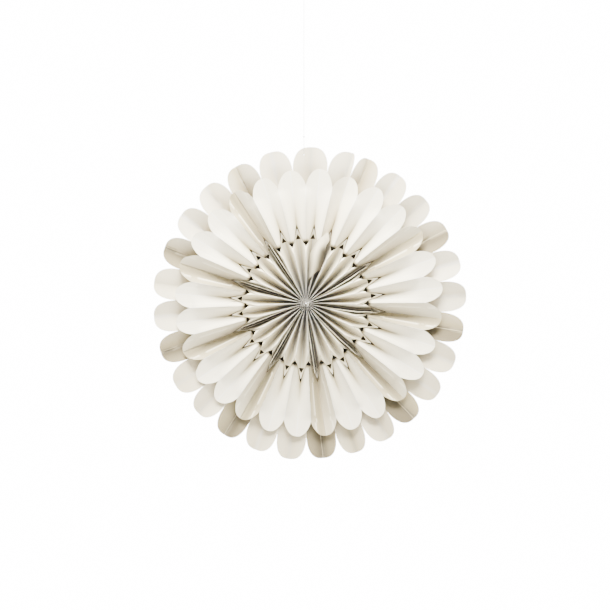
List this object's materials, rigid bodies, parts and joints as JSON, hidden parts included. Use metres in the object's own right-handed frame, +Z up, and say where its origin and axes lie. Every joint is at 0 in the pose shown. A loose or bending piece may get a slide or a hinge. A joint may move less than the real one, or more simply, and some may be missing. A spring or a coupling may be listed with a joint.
{
  "type": "hanging paper rosette",
  "caption": "Round pleated paper rosette with two rings of petals round a pointed star, hung on a thread; folds up like a fan.",
  "frame": {"origin": "top of the loop at the thread's upper end, where a hook holds it", "axes": "+Z up along the thread, rosette faces -Y, +X to the right seen from its front"},
  "size_m": [0.3999, 0.0445, 0.6241],
  "materials": {
    "paper": "matt, warm off-white, fine grain",
    "star_paper": "matt, warm off-white, fine grain",
    "thread": "matt twisted thread"
  },
  "bodies": {
    "thread": {"hanging_thread": "thread", "upper_knot": "thread", "hang_loop": "thread"},
    "eye_loop": {"lower_loop": "thread", "lower_knot": "thread"},
    "section_1": {"star_1": "star_paper", "front_petals_1": "paper", "back_petals_1": "paper", "star_flap_1": "star_paper", "back_flap_1": "paper", "centre_tie": "thread"},
    "section_2": {"star_2": "star_paper", "front_petals_2": "paper", "back_petals_2": "paper", "star_flap_2": "star_paper", "back_flap_2": "paper"},
    "section_3": {"star_3": "star_paper", "front_petals_3": "paper", "back_petals_3": "paper", "star_flap_3": "star_paper", "back_flap_3": "paper"},
    "section_4": {"star_4": "star_paper", "front_petals_4": "paper", "back_petals_4": "paper", "star_flap_4": "star_paper", "back_flap_4": "paper"},
    "section_5": {"star_5": "star_paper", "front_petals_5": "paper", "back_petals_5": "paper", "star_flap_5": "star_paper", "back_flap_5": "paper"},
    "section_6": {"star_6": "star_paper", "front_petals_6": "paper", "back_petals_6": "paper", "star_flap_6": "star_paper", "back_flap_6": "paper"},
    "section_7": {"star_7": "star_paper", "front_petals_7": "paper", "back_petals_7": "paper", "star_flap_7": "star_paper", "back_flap_7": "paper"},
    "section_8": {"star_8": "star_paper", "front_petals_8": "paper", "back_petals_8": "paper", "star_flap_8": "star_paper", "back_flap_8": "paper"},
    "section_9": {"star_9": "star_paper", "front_petals_9": "paper", "back_petals_9": "paper", "closing_tab": "paper"}
  },
  "joints": [
    {"name": "thread_swivel", "type": "hinge", "parent": "thread", "child": "eye_loop", "pos_m": [0, 0, -0.2101], "axis": [0, 0, 1], "continuous": true},
    {"name": "swing", "type": "hinge", "parent": "eye_loop", "child": "section_1", "pos_m": [0, 0, -0.2331], "axis": [1, 0, 0], "range_deg": [-15, 15]},
    {"name": "fan_fold_2", "type": "hinge", "parent": "section_1", "child": "section_2", "pos_m": [0.0027, -0.00757, -0.4241], "axis": [0, 1, 0], "range_deg": [0, 34], "deforming": ["star_2", "front_petals_2", "back_petals_2"]},
    {"name": "fan_fold_3", "type": "hinge", "parent": "section_2", "child": "section_3", "pos_m": [0.0027, -0.00757, -0.4241], "axis": [0, 1, 0], "range_deg": [0, 34], "deforming": ["star_3", "front_petals_3", "back_petals_3"]},
    {"name": "fan_fold_4", "type": "hinge", "parent": "section_3", "child": "section_4", "pos_m": [0.0027, -0.00757, -0.4241], "axis": [0, 1, 0], "range_deg": [0, 34], "deforming": ["star_4", "front_petals_4", "back_petals_4"]},
    {"name": "fan_fold_5", "type": "hinge", "parent": "section_4", "child": "section_5", "pos_m": [0.0027, -0.00757, -0.4241], "axis": [0, 1, 0], "range_deg": [0, 34], "deforming": ["star_5", "front_petals_5", "back_petals_5"]},
    {"name": "fan_fold_6", "type": "hinge", "parent": "section_5", "child": "section_6", "pos_m": [0.0027, -0.00757, -0.4241], "axis": [0, 1, 0], "range_deg": [0, 34], "deforming": ["star_6", "front_petals_6", "back_petals_6"]},
    {"name": "fan_fold_7", "type": "hinge", "parent": "section_6", "child": "section_7", "pos_m": [0.0027, -0.00757, -0.4241], "axis": [0, 1, 0], "range_deg": [0, 34], "deforming": ["star_7", "front_petals_7", "back_petals_7"]},
    {"name": "fan_fold_8", "type": "hinge", "parent": "section_7", "child": "section_8", "pos_m": [0.0027, -0.00757, -0.4241], "axis": [0, 1, 0], "range_deg": [0, 34], "deforming": ["star_8", "front_petals_8", "back_petals_8"]},
    {"name": "fan_fold_9", "type": "hinge", "parent": "section_8", "child": "section_9", "pos_m": [0.0027, -0.00757, -0.4241], "axis": [0, 1, 0], "range_deg": [0, 34], "deforming": ["star_9", "front_petals_9", "back_petals_9"]}
  ],
  "couplings": [
    {"joint": "fan_fold_3", "follows": "fan_fold_2", "ratio": 1},
    {"joint": "fan_fold_4", "follows": "fan_fold_2", "ratio": 1},
    {"joint": "fan_fold_5", "follows": "fan_fold_2", "ratio": 1},
    {"joint": "fan_fold_6", "follows": "fan_fold_2", "ratio": 1},
    {"joint": "fan_fold_7", "follows": "fan_fold_2", "ratio": 1},
    {"joint": "fan_fold_8", "follows": "fan_fold_2", "ratio": 1},
    {"joint": "fan_fold_9", "follows": "fan_fold_2", "ratio": 1}
  ]
}
